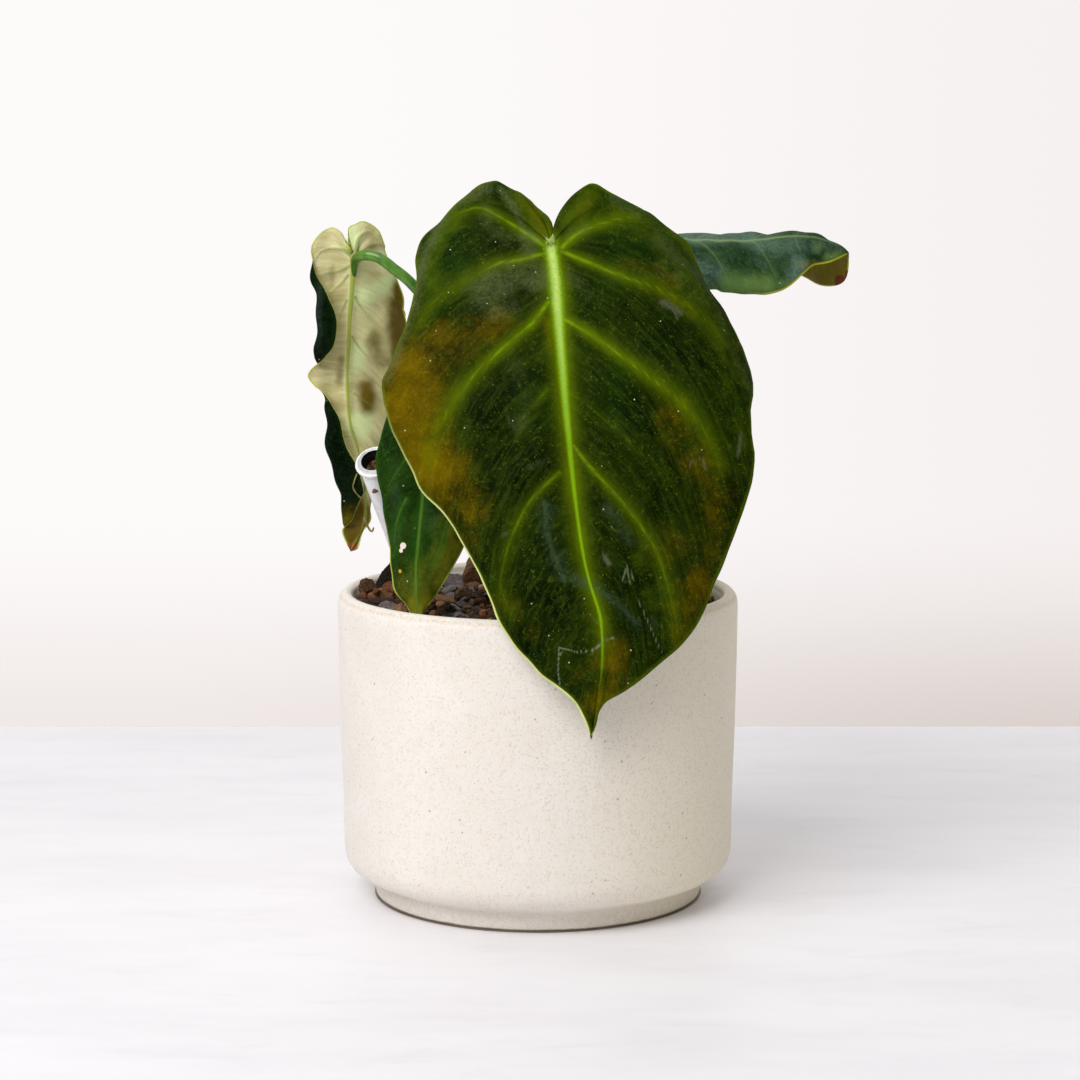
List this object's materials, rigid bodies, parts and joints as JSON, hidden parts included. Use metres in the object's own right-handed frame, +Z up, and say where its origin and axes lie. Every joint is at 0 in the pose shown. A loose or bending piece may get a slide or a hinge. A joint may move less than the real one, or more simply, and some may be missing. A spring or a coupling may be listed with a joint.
{
  "type": "potted philodendron hybrid",
  "caption": "Climbing aroid house plant with large velvety heart-shaped leaves, growing in bark mix in a plain cylindrical stoneware pot with a set-in foot.",
  "frame": {"origin": "middle of the pot's flat underside", "axes": "+Z up along the pot's axis, -Y towards the front leaf's upper face, +X towards the leaf that reaches out sideways"},
  "size_m": [0.2098, 0.1652, 0.2726],
  "materials": {
    "stoneware": "cream satin glaze with fine tan speckles",
    "bark": "rough chipped bark and stone mix",
    "green_stem": "smooth living plant stem",
    "velvet_leaf": "dark velvety leaf with pale yellow-green veins",
    "pale_leaf": "matte pale leaf underside with green veins",
    "blue_leaf": "blue-green velvety leaf",
    "white_plastic": "smooth white moulded plastic"
  },
  "bodies": {
    "root": {"pot": "stoneware", "bark_mix": "bark", "stem": "green_stem", "front_leaf": "velvet_leaf", "left_leaf": "pale_leaf", "right_leaf": "blue_leaf", "small_leaf": "velvet_leaf", "watering_tube": "white_plastic", "tube_fill": "bark"}
  },
  "joints": []
}
